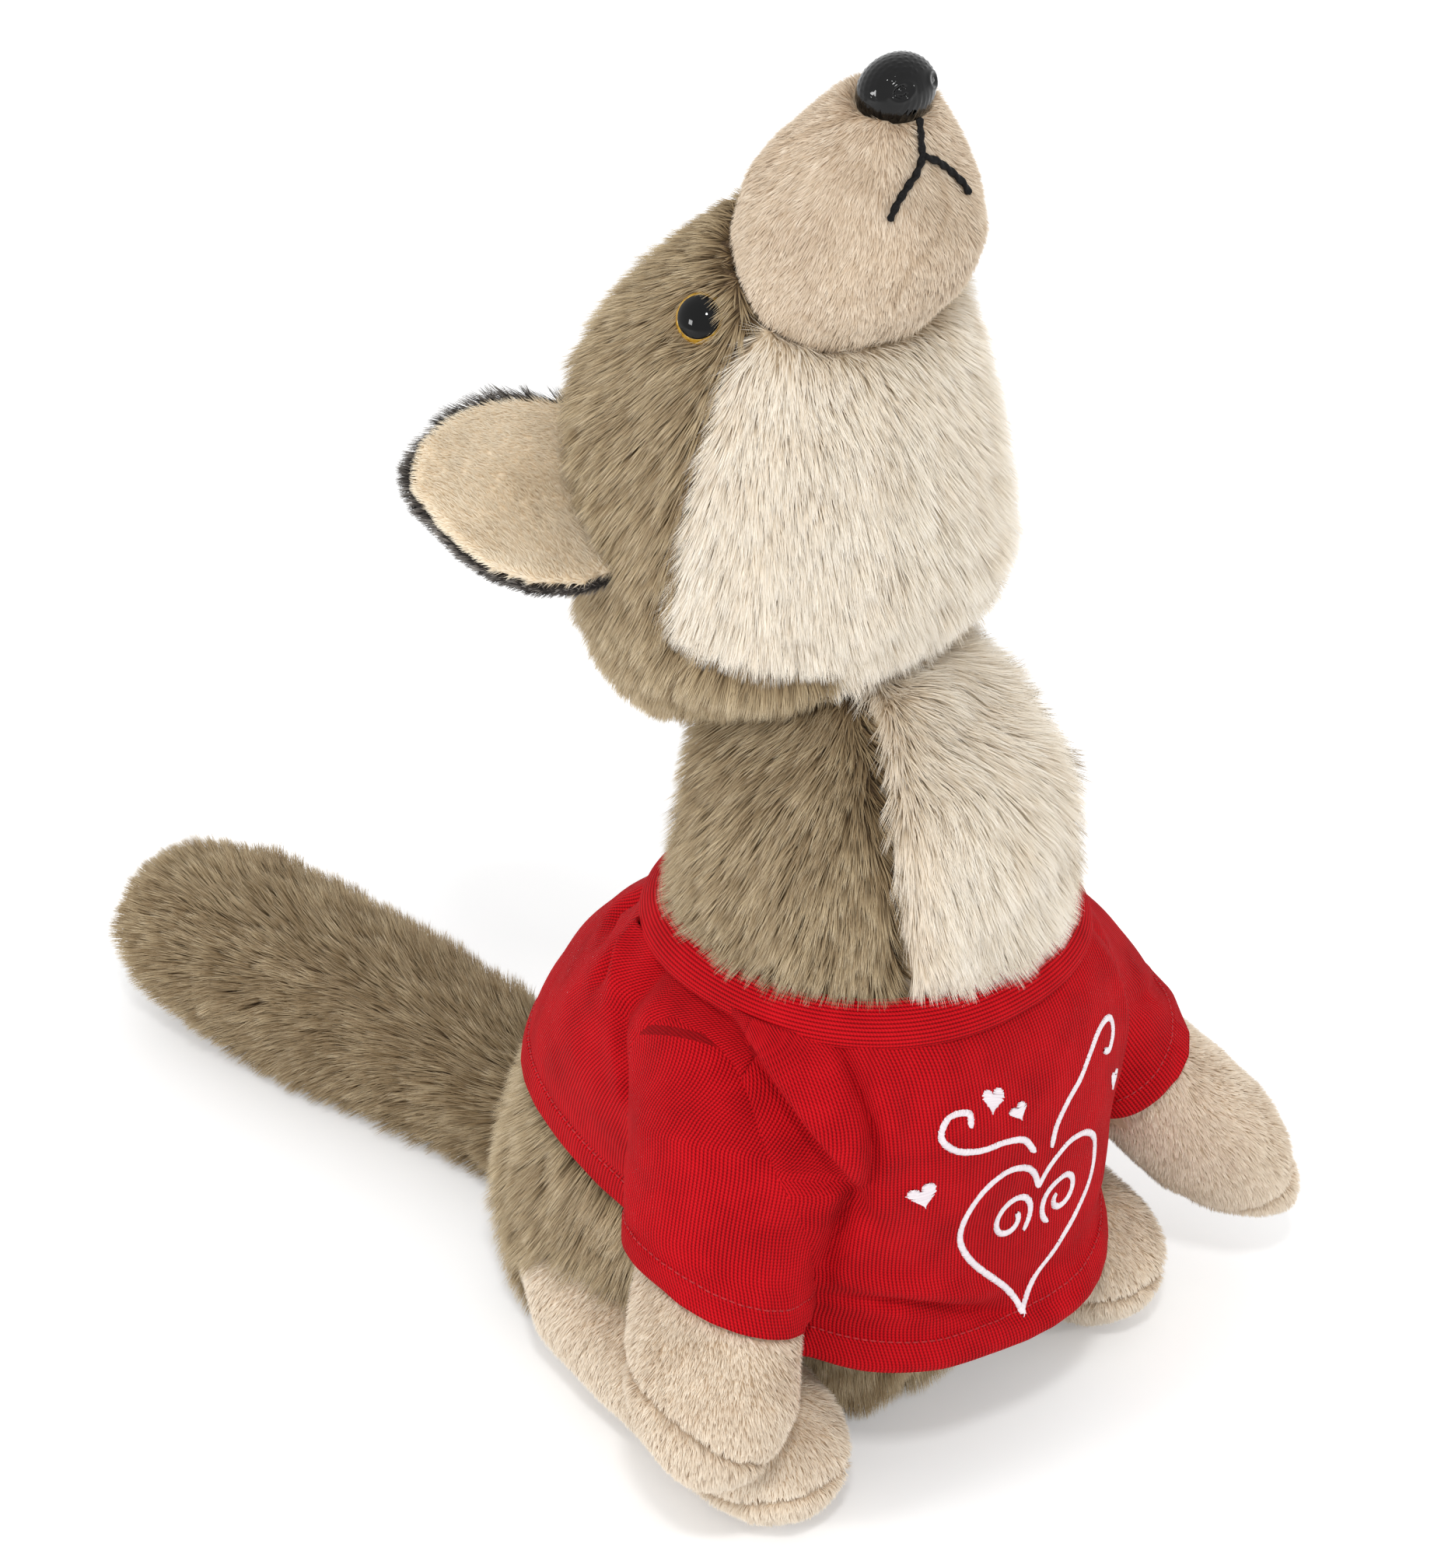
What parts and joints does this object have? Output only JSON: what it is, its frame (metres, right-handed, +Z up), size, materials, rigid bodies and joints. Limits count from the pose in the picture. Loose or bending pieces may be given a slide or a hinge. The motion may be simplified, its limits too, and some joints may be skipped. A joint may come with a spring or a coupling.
{
  "type": "plush wolf",
  "caption": "Sitting plush wolf with its head thrown back, long pile fur, stubby limbs and a short knitted T-shirt.",
  "frame": {"origin": "middle of the flat seat on the ground", "axes": "+Z up, -Y the way the chest faces, +X the wolf's left side"},
  "size_m": [0.212, 0.3331, 0.374],
  "materials": {
    "fur_brown": "long brown-grey pile",
    "fur_cream": "long cream pile",
    "fur_dark": "short dark frosted pile",
    "pile_tan": "short tan pile",
    "pile_beige": "short beige pile",
    "knit_red": "fine ribbed knit",
    "thread_white": "satin stitch thread",
    "floss_black": "twisted floss",
    "nose_black": "glossy moulded",
    "eye_black": "polished dome",
    "eye_amber": "polished, coloured behind clear"
  },
  "bodies": {
    "root": {"torso": "fur_brown", "chest": "fur_cream", "crown": "fur_brown", "cheeks": "fur_cream", "muzzle": "pile_tan", "nose": "nose_black", "mouth_long": "floss_black", "mouth_short": "floss_black", "tail": "fur_brown", "shirt_front": "knit_red", "shirt_back": "knit_red", "collar": "knit_red", "eye_right": "eye_black", "iris_right": "eye_amber", "ear_right": "fur_dark", "ear_lining_right": "pile_beige", "arm_right": "pile_tan", "paw_right": "pile_tan", "leg_right": "pile_tan", "sole_right": "pile_tan", "sleeve_right": "knit_red", "motif_scroll_right": "thread_white", "motif_plume_right": "thread_white", "eye_left": "eye_black", "iris_left": "eye_amber", "ear_left": "fur_dark", "ear_lining_left": "pile_beige", "arm_left": "pile_tan", "paw_left": "pile_tan", "leg_left": "pile_tan", "sole_left": "pile_tan", "sleeve_left": "knit_red", "motif_scroll_left": "thread_white", "motif_plume_left": "thread_white", "motif_heart": "thread_white", "motif_small_1": "thread_white", "motif_small_2": "thread_white", "motif_small_3": "thread_white", "motif_small_4": "thread_white"}
  },
  "joints": []
}
